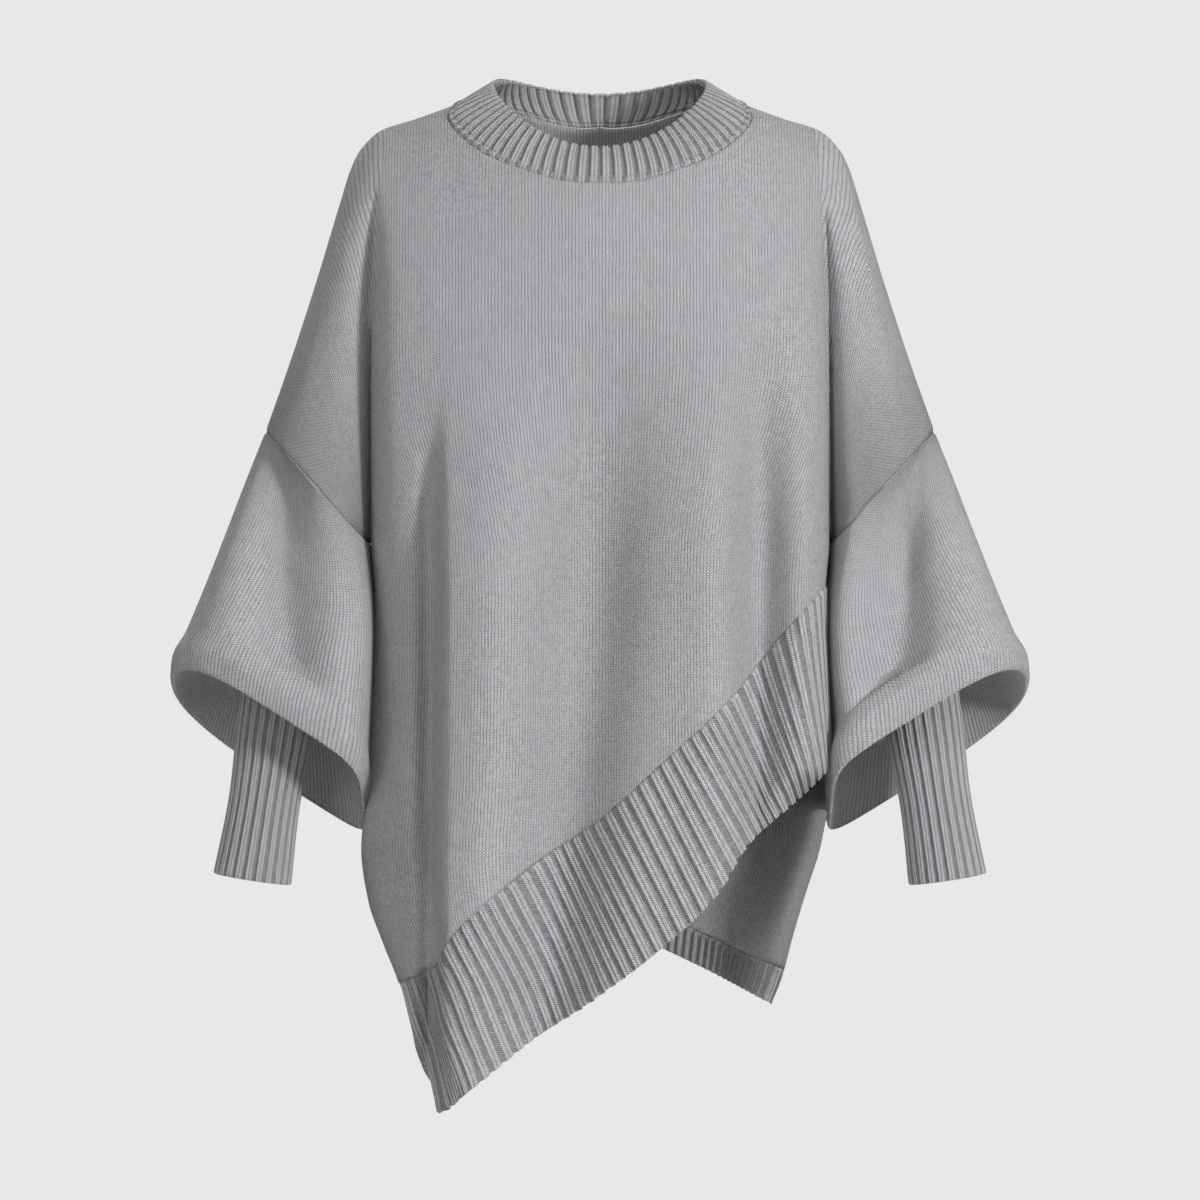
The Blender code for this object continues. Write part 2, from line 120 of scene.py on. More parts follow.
# How far in from the edge that loss reaches, by z
EDGE_REACH = ((-0.84, 0.020), (-0.70, 0.055), (-0.62, 0.065), (-0.50, 0.035), (-0.40, 0.035))

# Soft folds down the body: (x at the top, x at the bottom, depth, half width, z it starts, z it is full)
FOLDS = {
    "front": ((-0.142, -0.144, 0.030, 0.009, -0.22, -0.50), (0.034, -0.047, 0.058, 0.044, -0.14, -0.42),
              (0.134, 0.132, 0.036, 0.020, -0.15, -0.38), (0.168, 0.170, -0.006, 0.014, -0.20, -0.44),
              (0.099, 0.092, -0.010, 0.027, -0.14, -0.40), (-0.088, -0.094, -0.012, 0.036, -0.14, -0.42)),
    "back": ((-0.120, -0.128, 0.012, 0.022, -0.18, -0.44), (0.010, 0.000, 0.008, 0.030, -0.20, -0.45),
             (0.128, 0.124, 0.012, 0.022, -0.18, -0.44)),
}
FOLD_RUN = 0.75              # height over which a fold goes from its top x to its bottom x

# Steps: places where the cloth to the wearer's right of a line lies deeper, in the same terms
STEPS = {
    "front": ((-0.130, -0.134, 0.036, 0.006, -0.20, -0.54),),
    "back": ((-0.110, -0.122, 0.012, 0.014, -0.12, -0.42),),
}
STEP_RUN = 0.055             # width beyond the line over which a step goes on deepening
STEP_GAIN = 0.8              # and by what share

# Sleeves: outer and inner lines as (x, z), from the armhole to where the cloth turns under
SLEEVE_LEVELS = (0.0, 0.25, 0.5, 0.75, 1.0)
SLEEVE_OUTER = ((0.2843, -0.2652), (0.307, -0.323), (0.329, -0.383), (0.350, -0.440), (0.3625, -0.480))
SLEEVE_INNER = {
    -1: ((0.1945, -0.36), (0.1910, -0.415), (0.1925, -0.475), (0.1950, -0.535), (0.2010, -0.585)),
    1: ((0.1945, -0.36), (0.1910, -0.415), (0.1925, -0.475), (0.1955, -0.535), (0.1965, -0.585)),
}
# Depth of a sleeve in front of and behind the middle plane, by level
SLEEVE_FRONT = (0.067, 0.076, 0.082, 0.087, 0.084)
SLEEVE_BACK = (0.067, 0.079, 0.086, 0.092, 0.089)
SLEEVE_POWER = 2.6           # superellipse of a sleeve ring
SLEEVE_INNER_POWER = 6.0     # flatter where it hangs against the body
ARMHOLE_BLEND = 0.35         # share of the sleeve over which the armhole shape fades out
RIM_TILT_FRONT = 0.48        # the turned rim arches up in front
RIM_TILT_BACK = 0.30         # and hangs lower behind
TURN_DROP = 0.020            # how far the first handle of the curve that turns under lies below the rim
TURN_TOP_Z = -0.440          # z of its second handle
TURN_INWARD = (0.35, 0.35, 0.0)   # and that handle's share of the way from the rim to the cuff
SLEEVE_FOLDS = {             # (|x| above, |x| below, height, half width, start level, end level)
    -1: ((0.270, 0.260, -0.030, 0.024, 0.02, 0.86), (0.222, 0.218, 0.004, 0.012, 0.10, 0.95),
         (0.300, 0.318, 0.004, 0.022, 0.20, 1.00)),
    1: ((0.260, 0.236, -0.040, 0.031, 0.02, 0.86), (0.236, 0.230, 0.004, 0.014, 0.10, 0.95),
        (0.308, 0.322, 0.004, 0.020, 0.20, 1.00)),
}
SLEEVE_ROLL = (0.0045, 0.92, 0.09)     # swell above the turned rim: height, level, half width
SLEEVE_ROUND = 0.50          # nominal distance round a sleeve, which spaces its wales
FOLD_FACING = 0.05           # depth from the middle plane over which a sleeve's folds come in
FOLD_FADE_IN = 0.25          # share of the sleeve over which they start
FOLD_FADE_OUT = 0.20         # and end
# Cuff: the middles of its two ends, and its radius by share of the length
CUFF_TOP = (0.2695, 0.0, -0.478)
CUFF_END = (0.2955, 0.0, -0.645)
CUFF_RADII = ((0.0, 0.034), (0.25, 0.033), (0.60, 0.0305), (1.0, 0.0335))

# Collar: its free edge, from the neck seam
COLLAR_TOP_HALF_WIDTH = 0.0905
COLLAR_TOP_FRONT = (-0.083, -0.0275)   # (y, z) at the front middle
COLLAR_TOP_BACK = (0.062, 0.0285)
COLLAR_TOP_SIDE_Z = 0.031
COLLAR_BELLY = 0.003         # outward swell halfway up
COLLAR_DRAW_IN = 0.88        # share of the neck seam's length from which its ribs are counted

# Grid columns: fractions from the middle to the crease, close together in the crease, then fractions
# from the crease to the line over the arm
BODY_COLUMNS = (0.0, 0.11, 0.22, 0.33, 0.44, 0.55, 0.64, 0.76, 0.87, 0.93, 0.970, 0.990, 0.998, 1.0)
ARM_COLUMNS = (0.03, 0.13, 0.30, 0.50, 0.70, 0.86, 0.96, 1.0)

# Fine sampling: into how many parts each listed column step is split, how many rows a patch has and how
# many points a rib has
BODY_SPLIT = 7
BAND_SPLIT = 40
ARM_SPLIT = 6
UPPER_FINE = 84
LOWER_FINE = 64
SLEEVE_FINE = 84
TURN_FINE = 44
CUFF_FINE = 48
FRONT_BAND_FINE = 40
BACK_BAND_FINE = 14
COLLAR_FINE = 26
SAMPLES_PER_RIB = 12
WALK_STEPS = 240             # steps of the sum that measures a distance round the body

# Ribs: raised pairs of wales with a sunk purl valley between
RIB_HEIGHT = 0.0025
RIB_TOP_HALF = 0.24          # half width of a rib's flat top, as a share of the pitch
RIB_FLANK = 0.17             # width of its sloping side, in the same share
RIB_DIP = (0.34, 0.055)      # sunk line between its two wales: depth as a share of the rib, half width
RIB_START = 0.004            # distance below its seam over which a hem rib rises
RIB_PITCH = {"front": 0.0128, "back": 0.0074, "cuff": 0.0094, "collar": 0.0091}
BAND_LENGTH = {"front": 0.12, "back": 0.03}   # nominal, to place the rows of the rounded edge
BAND_LEAN = 0.27             # how far the hem ribs lean across, in column fraction
CHAIN_HEIGHT = 0.0020        # linked chain round the foot of the collar
CHAIN_LINE = (0.0026, 0.0012)   # its height above the neck seam between the loops, and how far these rise
CHAIN_HALF = 0.0013          # its half width
CHAIN_SUNK = (0.0012, 0.0062, 0.0011)   # sunk line above it: depth, height above the seam, half width
COLLAR_RIBS_FROM = (0.005, 0.004)   # height at which the collar's ribs start, and over which they rise
LIP = 0.0015                 # rounding of a free edge
SEAM_GROOVE = 0.0014         # depth of the joining line at a seam
SEAM_REACH = 0.0035          # distance from the seam at which it has all but faded
FAN_RADIUS = 0.22            # distance from the armpit at which the fanned wales have their true width
WALE = 0.0028                # width of one column of stitches
COURSE = 0.0021              # height of one row of stitches
CUFF_LENGTH = 0.169          # from CUFF_TOP to CUFF_END
COLLAR_HEIGHT = 0.04         # nominal: the rows and seams of the collar are spaced over it

# Look of the yarn: scales of its noises, and the weight of each part in the colour
DRIFT_SCALE = 70.0
FIBRE_SCALE = 620.0
CLOUD_SCALE = 9.0
FIBRE_WEIGHT = 0.8
FLECK_WEIGHT = 0.28
CLOUD_WEIGHT = 0.15
# painted shade: the stitch height goes into the colour, darker in the gaps between strands and lighter on the
# raised strands
STITCH_SHADE_WEIGHT = 1.35
# painted shade: darkens the colour in the sunk valleys between ribs
VALLEY_SHADE_WEIGHT = -0.62
COLOUR_RANGE = (0.88, 1.80)  # sums of the parts that give the dark and the light fibre
STITCH_SLANT = 0.9           # rows by which a stitch is shifted at the edges of its wale
RIB_WALE = 0.3               # width of one wale, as a share of the rib pitch
RIB_WALE_FROM = 0.2          # where in a rib the first wale starts, in the same share
BUMP_DISTANCE = 0.0009
# Fibre colours of the plain and the rib knit, linear RGB; the dark ends also stand for painted shade in the
# stitch gaps and rib valleys, the light ends for painted light on the raised strands
DARK_FIBRE_AND_SHADE = (0.20, 0.202, 0.213)
LIGHT_FIBRE_AND_LIT_STRAND = (0.66, 0.665, 0.685)
RIB_DARK_AND_SHADE = (0.18, 0.182, 0.191)
RIB_LIGHT_AND_LIT_STRAND = (0.66, 0.665, 0.685)

# Studio
CAMERA_DISTANCE = 5.0
CAMERA_Z = -0.408
VIEW_WIDTH = 1.02            # width the camera takes in at the middle plane
SENSOR_WIDTH = 36            # millimetres
FLOOR_HALF_WIDTH = 2.2
FLOOR_Z = -1.42


def smooth_table(table, q):
    """Read a table of (position, value) pairs along a smooth curve that never overshoots."""
    at, value = np.array(table, dtype=float).T
    step = np.diff(at)
    rate = np.diff(value) / step
    before, after = rate[:-1], rate[1:]
    same = before * after > 0
    inner = np.zeros_like(before)
    inner[same] = 2 * before[same] * after[same] / (before[same] + after[same])
    slope = np.concatenate([rate[:1], inner, rate[-1:]])
    q = np.clip(np.asarray(q, dtype=float), at[0], at[-1])
    i = np.clip(np.searchsorted(at, q, side="right") - 1, 0, len(at) - 2)
    t = (q - at[i]) / step[i]
    return ((1 + 2 * t) * (1 - t) ** 2 * value[i] + t * (1 - t) ** 2 * step[i] * slope[i]
            + t * t * (3 - 2 * t) * value[i + 1] + t * t * (t - 1) * step[i] * slope[i + 1])


def ease(q):
    """Smooth step from 0 to 1."""
    q = np.clip(q, 0.0, 1.0)
    return q * q * (3 - 2 * q)


def corner(q, power):
    """Quarter of a superellipse: rises steeply from 0 and levels out at 1."""
    q = np.clip(q, 0.0, 1.0)
    return (1 - (1 - q) ** power) ** (1 / power)


def side_edge(face, side, z):
    """|x| of the body's edge at the height z."""
    return smooth_table(SIDE_EDGE[face, side], z)


def fold_line(top_x, low_x, z):
    """Where the line of a fold or step crosses the height z."""
    return top_x + (low_x - top_x) * np.clip(-z / FOLD_RUN, 0, 1)


def fold_depth(face, x, z):
    """How far the soft folds and steps push the cloth in towards the middle plane."""
    total = np.zeros(np.broadcast(x, z).shape)
    for top_x, low_x, depth, half_width, start, full in FOLDS[face]:
        grow = ease((start - z) / (start - full))
        total += depth * grow * np.exp(-((x - fold_line(top_x, low_x, z)) / half_width) ** 2)
    for top_x, low_x, depth, half_width, start, full in STEPS[face]:
        grow = ease((start - z) / (start - full))
        past = fold_line(top_x, low_x, z) - x
        gain = STEP_GAIN * np.clip(past / STEP_RUN, 0, 1)
        total += depth * grow * (ease(past / (2 * half_width) + 0.5) + gain)
    return total


def body_depth(face, side, x, z):
    """Distance of the hanging cloth from the middle plane, with the crease beside the arm."""
    reach = np.abs(x)
    edge = side_edge(face, side, z)
    full = FRONT_DEPTH if face == "front" else BACK_DEPTH
    body = full * (1 - FLANK_LOSS * np.clip(reach / FLANK_AT, 0, 1.1) ** FLANK_POWER)
    at_edge = full * (1 - FLANK_LOSS * (edge / FLANK_AT) ** FLANK_POWER)
    loss = np.minimum(smooth_table(CREASE_DEPTH, z), smooth_table(EDGE_LOSS[face, side], z))
    width = smooth_table(EDGE_REACH, z)
    inside = (edge - reach) / width
    free = ease((SIDE_SEAM_END[side] - z) / FREE_FADE)
    kept = 1 - loss * (1 - corner(inside, CREASE_ROUND) * (1 - free) - ease(inside) * free)
    into_arm = (reach - edge) / ARM_CREASE_WIDTH
    creased = at_edge + (ARM_DEPTH - at_edge) * (1 - (1 - np.clip(into_arm, 0, 1)) ** ARM_FLATTEN)
    arm = body + (creased - body) * ease((ARM_FROM_Z - z) / ARM_FADE)
    in_arm = arm * (1 - loss * (1 - corner(into_arm, ARM_ROUND)))
    in_body = (body - fold_depth(face, x, z)) * kept
    return np.where(reach <= edge + 1e-6, in_body, in_arm)


def body_point(side, x, drop, face=None):
    """Point of the body surface at (x, drop)."""
    crest = smooth_table(CREST, np.abs(x))
    down = np.abs(drop)
    angle = np.minimum(down, 1) * math.pi / 2
    z = crest - ROUNDING * (1 - np.cos(angle) + np.maximum(down - 1, 0) * math.pi / 2)
    front = -body_depth("front", side, x, z) * np.sin(angle)
    back = body_depth("back", side, x, z) * np.sin(angle)
    y = np.where(drop < 0, front, back) if face is None else {"front": front, "back": back}[face]
    return np.stack([x + 0 * y, y, z], axis=-1)


def drop_at(face, x, z):
    """The drop of a body point at (x, z)."""
    q = np.maximum((smooth_table(CREST, np.abs(x)) - z) / ROUNDING, 0)
    down = np.where(q < 1, np.arccos(1 - np.minimum(q, 1)) * 2 / math.pi, 1 + (q - 1) * 2 / math.pi)
    return -down if face == "front" else down


def seam_drop(x):
    """Drop of the shoulder seam: a straight line in (x, drop) from the neck to the top of the crease."""
    share = (CREASE_TOP_X - x) / (CREASE_TOP_X - NECK_HALF_WIDTH)
    return NECK_SIDE_DROP * np.clip(share, 0, 1)


def subdivide(values, times):
    """Split every step between the listed values."""
    at = np.arange(len(values))
    return np.interp(np.linspace(0, len(values) - 1, times * (len(values) - 1) + 1), at, values)


def lengths_along(points, axis):
    """Distance walked along one axis of a grid."""
    steps = np.linalg.norm(np.diff(points, axis=axis), axis=-1)
    zero = np.zeros_like(np.take(steps, [0], axis=axis))
    return np.concatenate([zero, np.cumsum(steps, axis=axis)], axis=axis)


def rounded_rows(count, length, lip_start=False, lip_end=False):
    """Fractions from 0 to 1 with extra rows where a free edge is rounded."""
    rows = np.linspace(0, 1, count + 1)
    near = LIP / length * np.array([0.06, 0.2, 0.45, 0.75, 1.0])
    extra = [near] if lip_start else []
    extra += [1 - near] if lip_end else []
    return np.unique(np.round(np.concatenate([rows] + extra), 6))


def pinch(distance):
    """Share of the wall given up at this distance from a free edge, so that the edge is round."""
    q = np.clip(distance / LIP, 0, 1)
    return 1 - np.sqrt(1 - (1 - q) ** 2)


def rib_profile(u):
    """Height from 0 to 1 across one rib; u counts ribs."""
    p = u - np.floor(u)
    from_middle = np.abs(p - 0.5)
    plateau = 1 - ease((from_middle - RIB_TOP_HALF) / RIB_FLANK)
    depth, half_width = RIB_DIP
    return plateau * (1 - depth * np.exp(-(from_middle / half_width) ** 2))


def groove(distance):
    """The sunk line beside a seam."""
    return -SEAM_GROOVE * np.exp(-(distance / SEAM_REACH * 1.6) ** 2)


def patch(points, uv, relief=None, thin=None):
    """A grid of cloth: places, cloth coordinates, raised height and edge rounding.

    Cloth coordinates are in metres, except that across the ribbed pieces they count ribs.
    """
    shape = points.shape[:2]
    relief = np.zeros(shape) if relief is None else np.broadcast_to(relief, shape)
    thin = np.zeros(shape) if thin is None else np.broadcast_to(thin, shape)
    return {"points": points, "uv": np.broadcast_to(uv, shape + (2,)), "relief": relief, "thin": thin}


def flipped(grid):
    """The same patch with its columns in the other order."""
    return {key: value[:, ::-1] for key, value in grid.items()}


def top_of_column(face, fraction):
    """(|x|, drop) where a body column leaves the neck opening or the shoulder seam."""
    if fraction <= NECK_COLUMNS_END:
        angle = math.pi / 2 * fraction / NECK_COLUMNS_END
        reach = -NECK_FRONT_DROP if face == "front" else NECK_BACK_DROP
        drop = NECK_SIDE_DROP + reach * max(math.cos(angle), 0.0) ** NECK_POWER
        return NECK_HALF_WIDTH * math.sin(angle), drop
    share = (fraction - NECK_COLUMNS_END) / (1 - NECK_COLUMNS_END)
    x = NECK_HALF_WIDTH + (CREASE_TOP_X - NECK_HALF_WIDTH) * share
    return x, seam_drop(x)


def around_body(face, side, reach, z):
    """Distance walked along the cloth, level with z, from the middle to |x| = reach."""
    x = reach * np.linspace(0, 1, WALK_STEPS + 1).reshape(-1, *([1] * np.ndim(reach)))
    y = body_depth(face, side, side * x, z)
    return side * np.sum(np.hypot(np.diff(x, axis=0), np.diff(y, axis=0)), axis=0)


def body_part(face, side):
    """Upper body from the neck and shoulder to the armpit, without the arm."""
    fractions = subdivide(BODY_COLUMNS, BODY_SPLIT)
    rows = np.linspace(0, 1, UPPER_FINE + 1)
    grid = []
    for fraction in fractions:
        x0, drop0 = top_of_column(face, fraction)
        x1 = fraction * side_edge(face, side, ARMPIT_Z)
        x = x0 + (x1 - x0) * rows
        grid.append(body_point(side, side * x, drop0 + (drop_at(face, x1, ARMPIT_Z) - drop0) * rows))
    points = np.array(grid).transpose(1, 0, 2)
    along = lengths_along(points, 0)
    u = around_body(face, side, np.abs(points[..., 0]), np.maximum(points[..., 2], ARMPIT_Z))
    v = along[-1] - along + ARMPIT_Z
    return patch(points, np.stack([u, v], axis=-1))


def arm_part(face, side, body):
    """Cloth over the upper arm, from the crease to the line over the arm; its wales fan from the armpit."""
    crease, crease_uv = body["points"][:, -1], body["uv"][:, -1]
    rows = np.linspace(0, 1, UPPER_FINE + 1)
    shares = subdivide((0.0,) + ARM_COLUMNS, ARM_SPLIT)
    crest_x = SHOULDER_CORNER + (CREST[-1][0] - SHOULDER_CORNER) * rows
    crest_z = smooth_table(CREST, crest_x)
    crease_x, crease_z = np.abs(crease[:, 0]), crease[:, 2]
    grid = [crease]
    for share in shares[1:]:
        across = 1 - (1 - share) ** 2
        x = crease_x + (crest_x - crease_x) * across
        straight = crease_z + (crest_z - crease_z) * across
        bent = smooth_table(CREST, x) - (smooth_table(CREST, crease_x) - crease_z) * (1 - across)
        z = straight + (bent - straight) * ease(1 - rows / SHOULDER_SHARE)
        points = body_point(side, side * x, drop_at(face, x, z), face)
        points[0] = body_point(side, side * x[0], seam_drop(x[0]))
        grid.append(points)
    points = np.array(grid).transpose(1, 0, 2)
    from_armpit = points - points[-1, 0]
    radius = np.linalg.norm(from_armpit, axis=-1)
    angle = np.arctan2(side * from_armpit[..., 0], from_armpit[..., 2])
    angle[-1, 0] = angle[-2, 0]
    depth = np.abs(points[..., 1])
    middle = np.searchsorted(shares, 0.5)
    over_edge = np.where(shares >= shares[middle], np.maximum(depth[:, middle, None] - depth, 0), 0)
    u = crease_uv[:, :1] + side * (FAN_RADIUS * (angle - angle[:, :1]) + over_edge)
    v = crease_uv[:, 1:] + radius - radius[:, :1]
    to_armhole = lengths_along(points[::-1, -1], 0)[::-1]
    return patch(points, np.stack([u, v], axis=-1), groove(to_armhole)[:, None])


def lower_part(face, side):
    """Hanging body from the armpit to the top of the hem rib."""
    fractions = subdivide(BODY_COLUMNS, BODY_SPLIT)
    rows = np.linspace(0, 1, LOWER_FINE + 1)[:, None]
    z = ARMPIT_Z + (smooth_table(RIB_TOP[face, side], fractions) - ARMPIT_Z) * rows
    x = side * fractions * side_edge(face, side, z)
    points = body_point(side, x, drop_at(face, x, z))
    u = around_body(face, side, fractions * side_edge(face, side, ARMPIT_Z), ARMPIT_Z)
    u = np.broadcast_to(u, z.shape)
    return patch(points, np.stack([u, z], axis=-1))


def panel(face):
    """All patches of a body panel, from the wearer's right to left."""
    grids = []
    for side in (-1, 1):
        upper = body_part(face, side)
        arm = arm_part(face, side, upper)
        half = [upper, arm, lower_part(face, side)]
        grids += [flipped(grid) for grid in half] if side < 0 else half
    return grids


def across_both(table, face, signed):
    """Read a hem table over the whole width; signed runs from -1 to 1."""
    low = smooth_table(table[face, -1], np.abs(signed))
    high = smooth_table(table[face, 1], np.abs(signed))
    return np.where(signed < 0, low, high)


def band_points(face, signed, share, lean):
    """Points of a hem band: ribs start at `signed` on its top edge and lean across on the way down."""
    across = lean * np.where(signed < 0, np.cos(signed * math.pi / 2), 1 - np.abs(signed) ** 3)
    reach = np.clip(signed + across * share, -1, 1)
    end = np.clip(signed + across, -1, 1)
    top = across_both(RIB_TOP, face, signed)
    z = top + (across_both(HEM, face, end) - top) * share
    edge = np.where(reach < 0, side_edge(face, -1, z), side_edge(face, 1, z))
    x = reach * edge
    right = body_point(-1, x, drop_at(face, x, z))
    left = body_point(1, x, drop_at(face, x, z))
    return np.where((reach < 0)[..., None], right, left)


def band(face, rows, lean):
    """Ribbed hem band; its columns follow the ribs."""
    fractions = subdivide(BODY_COLUMNS, BAND_SPLIT)
    signed = np.concatenate([-fractions[:0:-1], fractions])
    middle = lengths_along(band_points(face, signed, 0.5, lean), 0)
    ribs = round(middle[-1] / RIB_PITCH[face])
    at = np.interp(np.linspace(0, middle[-1], ribs * SAMPLES_PER_RIB + 1), middle, signed)
    share = rounded_rows(rows, BAND_LENGTH[face], lip_end=True)[:, None]
    points = band_points(face, at[None, :] + 0 * share, share, lean)
    down = lengths_along(points, 0)
    count = np.linspace(0, ribs, len(at))
    start = ease(down / RIB_START)
    relief = RIB_HEIGHT * (rib_profile(count) - 0.5) * start + 0.4 * groove(down)
    side_thin = pinch(middle[-1] * np.minimum(count, ribs - count) / ribs)
    thin = np.maximum(pinch(down[-1:] - down), side_thin[None, :])
    uv = np.stack([np.broadcast_to(count, down.shape), -down], axis=-1)
    return [patch(points, uv, relief, thin)]


def armhole(side):
    """Closed armhole ring from the top of the arm down the front and up the back."""
    rings = []
    for face in ("front", "back"):
        rings.append(arm_part(face, side, body_part(face, side))["points"][-1])
    return np.concatenate([rings[0][::-1], rings[1][1:]])


def ring_angles():
    """Angles of the points round a sleeve, as many as the armhole has."""
    return np.linspace(0, 2 * math.pi, 2 * len(ARM_COLUMNS) * ARM_SPLIT + 1)


def sleeve_ring(side, level, hole):
    """One slanting ring of the balloon sleeve; level runs from the armhole to the turned rim."""
    at = [np.interp(level, SLEEVE_LEVELS, [p[i] for p in line])
          for line in (SLEEVE_OUTER, SLEEVE_INNER[side]) for i in (0, 1)]
    outer, inner = np.array(at[:2]), np.array(at[2:])
    middle, half = (outer + inner) / 2, (outer - inner) / 2
    angle = ring_angles()
    fore, side_on = np.sin(angle), np.cos(angle)
    power = np.where(side_on < 0, SLEEVE_INNER_POWER, SLEEVE_POWER)
    box = (np.abs(fore) ** power + np.abs(side_on) ** power) ** (-1 / power)
    depth = np.where(fore > 0, np.interp(level, SLEEVE_LEVELS, SLEEVE_FRONT),
                     np.interp(level, SLEEVE_LEVELS, SLEEVE_BACK))
    y = -depth * fore * box
    xz = middle + half * (side_on * box)[:, None]
    tilt = np.where(y < 0, RIM_TILT_FRONT, RIM_TILT_BACK)
    z = xz[:, 1] - tilt * ease((level - 0.3) / 0.7) * y
    puff = np.stack([side * xz[:, 0], y, z], axis=1)
    keep = ease(1 - level / ARMHOLE_BLEND)
    return hole * keep + puff * (1 - keep)


def cuff_ring(side, level, angle, clearance=0.0):
    """Points round the cuff; level runs from its join with the sleeve to its free end."""
    top, end = np.array(CUFF_TOP), np.array(CUFF_END)
    centre = top + (end - top) * level
    down = (end - top) / np.linalg.norm(end - top)
    outward = np.array([-down[2], 0.0, down[0]])
    radius = smooth_table(CUFF_RADII, level) + clearance
    ring = centre + radius * (np.cos(angle)[:, None] * outward - np.sin(angle)[:, None] * [0, 1, 0])
    return ring * [side, 1, 1]


def sleeve_folds(side, points, level):
    """Height of the folds down the front and back of a sleeve, and of the swell above its rim."""
    facing = ease(np.abs(points[..., 1]) / FOLD_FACING - 0.2)
    folds = np.zeros(points.shape[:2])
    for top_x, low_x, depth, half_width, start, end in SLEEVE_FOLDS[side]:
        place = top_x + (low_x - top_x) * np.clip(level, 0, 1)
        run = ease((level - start) / FOLD_FADE_IN) * ease((end - level) / FOLD_FADE_OUT)
        folds += depth * run * facing * np.exp(-((np.abs(points[..., 0]) - place) / half_width) ** 2)
    height, place, half_width = SLEEVE_ROLL
    return folds + height * np.exp(-((level - place) / half_width) ** 2)


def sleeve(side):
    """Balloon sleeve from the armhole, turned under at the rim and up to the cuff."""
    hole = armhole(side)
    rings = [sleeve_ring(side, level, hole) for level in np.linspace(0, 1, SLEEVE_FINE + 1)]
    rim, cuff_top = rings[-1], cuff_ring(side, 0, ring_angles(), SEAM_GAP)
    under = rim + [0, 0, -TURN_DROP]
    up = rim + (cuff_top - rim) * TURN_INWARD
    up[:, 2] = TURN_TOP_Z
    for t in np.linspace(0, 1, TURN_FINE + 1)[1:]:
        rings.append(rim * (1 - t) ** 3 + 3 * under * t * (1 - t) ** 2
                     + 3 * up * t * t * (1 - t) + cuff_top * t ** 3)
    points = np.array(rings)
    points[:, -1] = points[:, 0]
    down = lengths_along(points, 0)
    level = np.arange(len(rings))[:, None] / SLEEVE_FINE
    u = np.broadcast_to(np.linspace(0, SLEEVE_ROUND, points.shape[1]), down.shape)
    relief = groove(down) + sleeve_folds(side, points, level)
    grid = patch(points, np.stack([side * u, -down], axis=-1), relief)
    return [flipped(grid)] if side < 0 else [grid]


def cuff(side):
    """Long ribbed cuff."""
    ribs = round(2 * math.pi * CUFF_RADII[0][1] / RIB_PITCH["cuff"])
    angle = np.linspace(0, 2 * math.pi, ribs * SAMPLES_PER_RIB + 1)
    rows = rounded_rows(CUFF_FINE, CUFF_LENGTH, lip_end=True)
    points = np.array([cuff_ring(side, level, angle) for level in rows])
    points[:, -1] = points[:, 0]
    count = np.linspace(0, ribs, len(angle))
    down = rows[:, None] * CUFF_LENGTH
    relief = RIB_HEIGHT * (rib_profile(count) - 1)
    uv = np.stack(np.broadcast_arrays(count, -down), axis=-1)
    grid = patch(points, uv, relief, pinch(CUFF_LENGTH - down))
    return [flipped(grid)] if side < 0 else [grid]


def neck_ring(angle):
    """Points of the neck seam; angle runs from the front middle over the wearer's left side."""
    cosine = np.cos(angle)
    reach = np.where(cosine > 0, -NECK_FRONT_DROP, NECK_BACK_DROP)
    drop = NECK_SIDE_DROP + reach * np.abs(cosine) ** NECK_POWER
    return body_point(1, NECK_HALF_WIDTH * np.sin(angle), drop)


def collar_top(angle):
    """Points of the collar's free edge, by their angle from the front middle."""
    fore = (1 + np.cos(angle)) / 2
    y = COLLAR_TOP_BACK[0] + (COLLAR_TOP_FRONT[0] - COLLAR_TOP_BACK[0]) * fore
    z = COLLAR_TOP_BACK[1] + (COLLAR_TOP_FRONT[1] - COLLAR_TOP_BACK[1]) * fore
    mean_z = (COLLAR_TOP_BACK[1] + COLLAR_TOP_FRONT[1]) / 2
    z = z + (COLLAR_TOP_SIDE_Z - mean_z) * np.sin(angle) ** 2
    return np.stack([COLLAR_TOP_HALF_WIDTH * np.sin(angle), y, z], axis=1)


def chain(count, up):
    """Linked chain round the foot of the collar: two loops to a rib, with a sunk line above them."""
    loops = 0.5 + 0.5 * np.cos(4 * math.pi * count)
    scallop = CHAIN_LINE[0] + CHAIN_LINE[1] * loops
    raised = CHAIN_HEIGHT * (0.45 + 0.55 * loops) * np.exp(-((up - scallop) / CHAIN_HALF) ** 2)
    depth, place, half_width = CHAIN_SUNK
    return raised - depth * np.exp(-((up - place) / half_width) ** 2)


def collar():
    """Ribbed collar from the neck seam up and in to its free edge, with a linked seam at its foot."""
    fine = np.linspace(0, 2 * math.pi, 1441)
    around = lengths_along(neck_ring(fine), 0)
    ribs = round(COLLAR_DRAW_IN * around[-1] / RIB_PITCH["collar"])
    start = np.interp(np.linspace(0, around[-1], ribs * SAMPLES_PER_RIB + 1), around, fine)
    base = neck_ring(start)
    base[-1] = base[0]
    angle = np.arctan2(base[:, 0], -base[:, 1])
    top = collar_top(angle)
    outward = np.stack([np.sin(angle), -np.cos(angle), 0 * angle], axis=1)
    rows = rounded_rows(COLLAR_FINE, COLLAR_HEIGHT, lip_end=True)[:, None, None]
    points = base + (top - base) * rows + COLLAR_BELLY * 4 * rows * (1 - rows) * outward
    count = np.linspace(0, ribs, len(angle))
    up = rows[:, :, 0] * COLLAR_HEIGHT
    foot, rise = COLLAR_RIBS_FROM
    ribbed = RIB_HEIGHT * (rib_profile(count) - 1) * ease((up - foot) / rise)
    uv = np.stack(np.broadcast_arrays(count, up), axis=-1)
    return [patch(points, uv, ribbed + chain(count, up) + groove(up), pinch(COLLAR_HEIGHT - up))]


